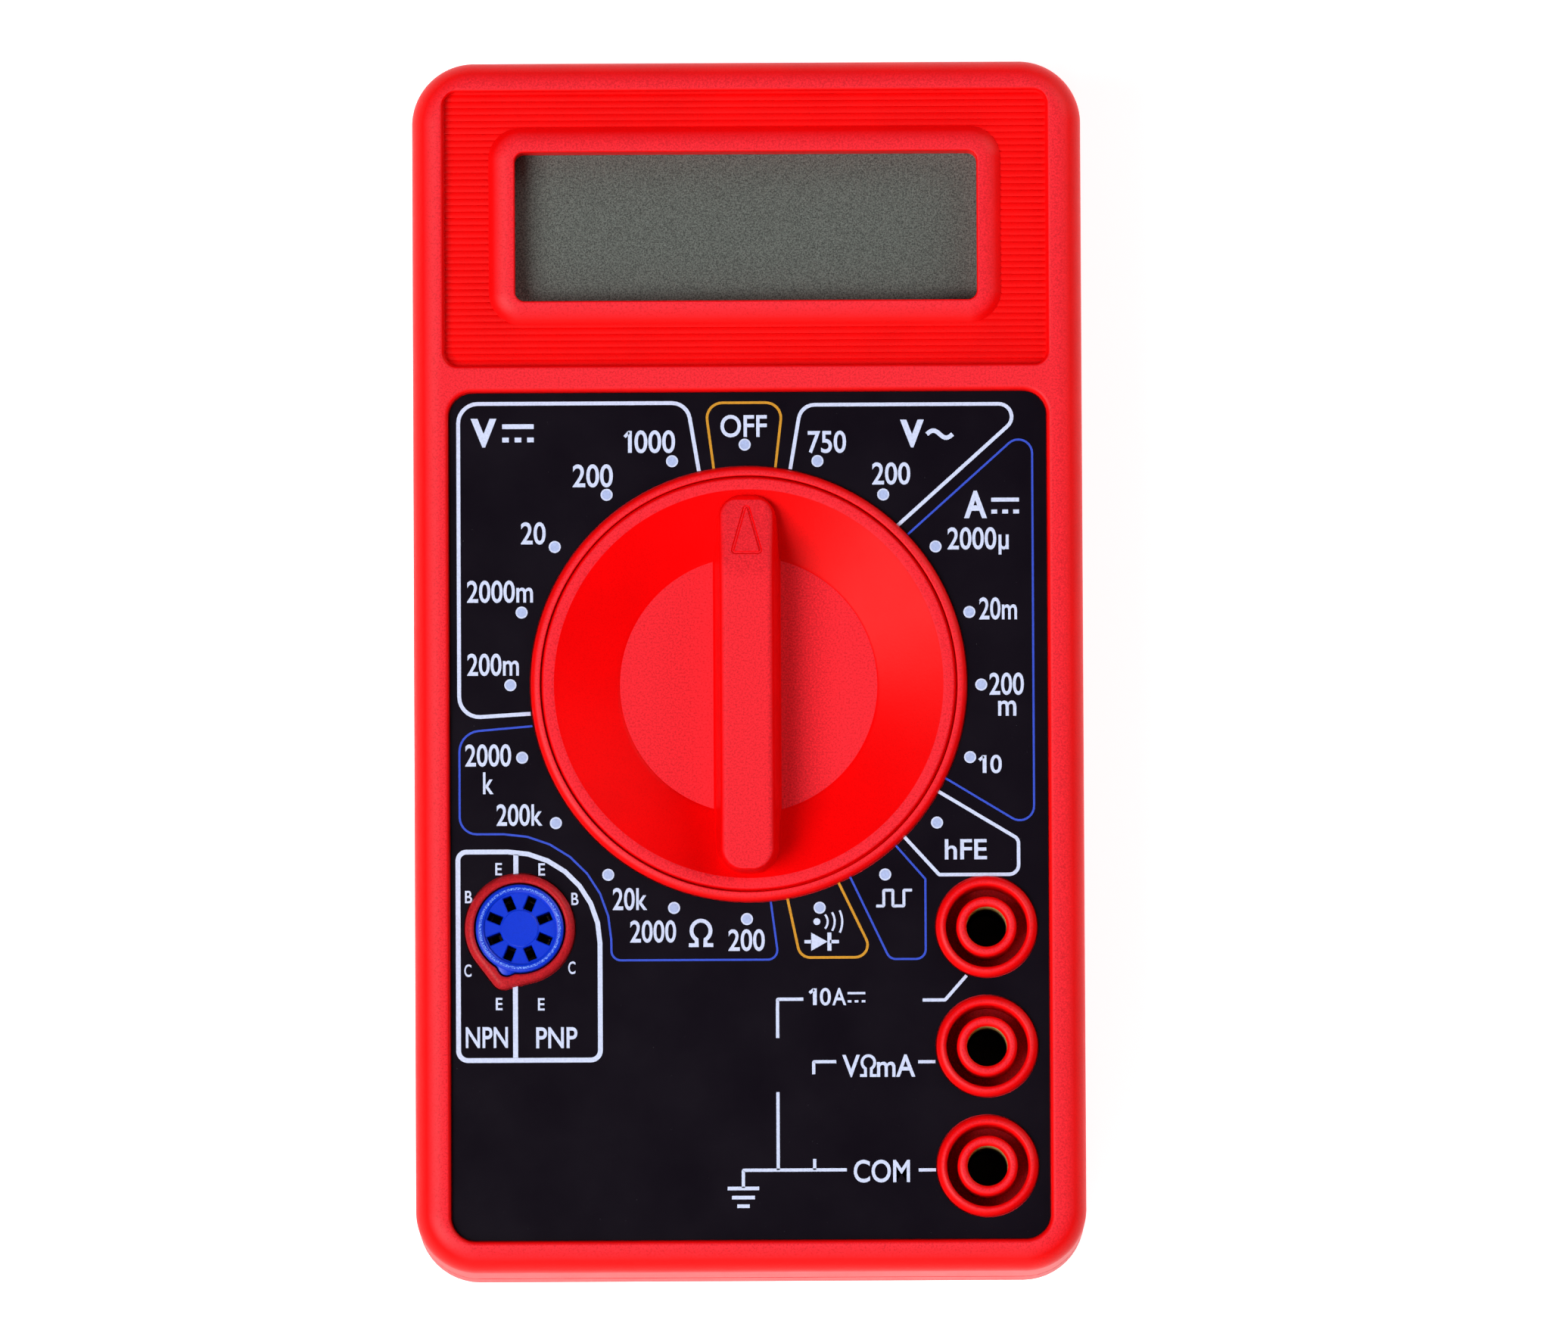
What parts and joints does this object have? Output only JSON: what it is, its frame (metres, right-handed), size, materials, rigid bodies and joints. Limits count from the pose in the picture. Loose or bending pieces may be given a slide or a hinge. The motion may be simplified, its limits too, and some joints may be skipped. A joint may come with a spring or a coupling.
{
  "type": "digital multimeter",
  "caption": "Pocket digital multimeter: red two-part case, dished rotary range switch with bar handle, LCD window, three 4 mm input jacks and a round transistor socket.",
  "frame": {"origin": "centre of the case's outline on its flat back face", "axes": "+Z out of the front face, +Y towards the display end, +X to the right seen from the front"},
  "size_m": [0.07, 0.1268, 0.0276],
  "materials": {
    "case_plastic": "satin moulded ABS, saturated red",
    "back_plastic": "satin moulded ABS, saturated red, fine spark texture",
    "label_print": "near-black printed overlay, satin",
    "knob_plastic": "satin moulded ABS, saturated red",
    "lcd_glass": "clear soda-lime glass",
    "lcd_film": "grey-green anti-glare polarizing film",
    "dark_plastic": "black moulded plastic",
    "silicone": "soft silicone with fine conductive layers",
    "board_laminate": "green solder mask on laminate",
    "steel_screw": "bright zinc plating",
    "steel_ball": "polished steel",
    "spring_steel": "plain spring steel",
    "contact_gold": "gold-flashed spring bronze",
    "brass_tube": "turned brass",
    "epoxy_black": "black potting epoxy",
    "resistor_body": "tan lacquer with colour bands",
    "film_cap_red": "red-brown epoxy dip",
    "cap_sleeve": "dark blue shrink sleeve",
    "semiconductor_black": "black moulded epoxy",
    "thermistor_blue": "blue lacquer",
    "trimmer_blue": "blue moulded plastic",
    "trimmer_white": "ivory moulded plastic",
    "socket_blue": "strong blue moulded plastic",
    "fuse_glass": "clear glass tube",
    "nickel_plate": "nickel plating",
    "shunt_alloy": "drawn manganin wire",
    "piezo_brass": "rolled brass disc",
    "piezo_white": "silvered white ceramic",
    "battery_jacket": "printed metal jacket, plain dark with a lighter band",
    "snap_vinyl": "black vinyl",
    "lead_red": "red PVC insulation",
    "lead_black": "black PVC insulation",
    "lead_grey": "dark grey PVC insulation"
  },
  "bodies": {
    "meter": {"front_case": "case_plastic", "rear_cover": "back_plastic", "front_label": "label_print", "case_screws": "steel_screw", "lcd_glass": "lcd_glass", "lcd_polarizer": "lcd_film", "lcd_holder": "dark_plastic", "zebra_strip": "silicone", "circuit_board": "board_laminate", "board_screws": "steel_screw", "chip_blob": "epoxy_black", "resistors": "resistor_body", "film_capacitors": "film_cap_red", "electrolytic_capacitor": "cap_sleeve", "diodes": "semiconductor_black", "transistors": "semiconductor_black", "thermistor": "thermistor_blue", "trimmer_base": "trimmer_blue", "jack_10a": "brass_tube", "jack_volt": "brass_tube", "jack_common": "brass_tube", "shunt_wire": "shunt_alloy", "hfe_socket": "socket_blue", "hfe_contacts": "contact_gold", "fuse_glass": "fuse_glass", "fuse_caps": "nickel_plate", "fuse_clips": "nickel_plate", "buzzer_disc": "piezo_brass", "buzzer_ceramic": "piezo_white", "buzzer_leads": "lead_grey", "battery": "battery_jacket", "battery_terminals": "nickel_plate", "snap_cover": "snap_vinyl", "snap_studs": "nickel_plate", "lead_positive": "lead_red", "lead_negative": "lead_black"},
    "knob": {"rotary_knob": "knob_plastic", "slider_contacts": "contact_gold", "detent_springs": "spring_steel"},
    "ball_right": {"detent_ball_right": "steel_ball"},
    "ball_left": {"detent_ball_left": "steel_ball"},
    "trimmer": {"trimmer_rotor": "trimmer_white"}
  },
  "joints": [
    {"name": "knob_turn", "type": "hinge", "parent": "meter", "child": "knob", "pos_m": [0, -0.002, 0.02], "axis": [0, 0, 1], "continuous": true},
    {"name": "ball_right_slide", "type": "slide", "parent": "knob", "child": "ball_right", "axis": [1, 0, 0], "range_m": [0, 0.00045], "stiffness_N_per_m": 600, "springref_m": 0.0025},
    {"name": "ball_left_slide", "type": "slide", "parent": "knob", "child": "ball_left", "axis": [-1, 0, 0], "range_m": [0, 0.00045], "stiffness_N_per_m": 600, "springref_m": 0.0025},
    {"name": "trimmer_turn", "type": "hinge", "parent": "meter", "child": "trimmer", "pos_m": [-0.022, 0.008, 0.011], "axis": [0, 0, 1], "range_deg": [-120, 120]}
  ]
}
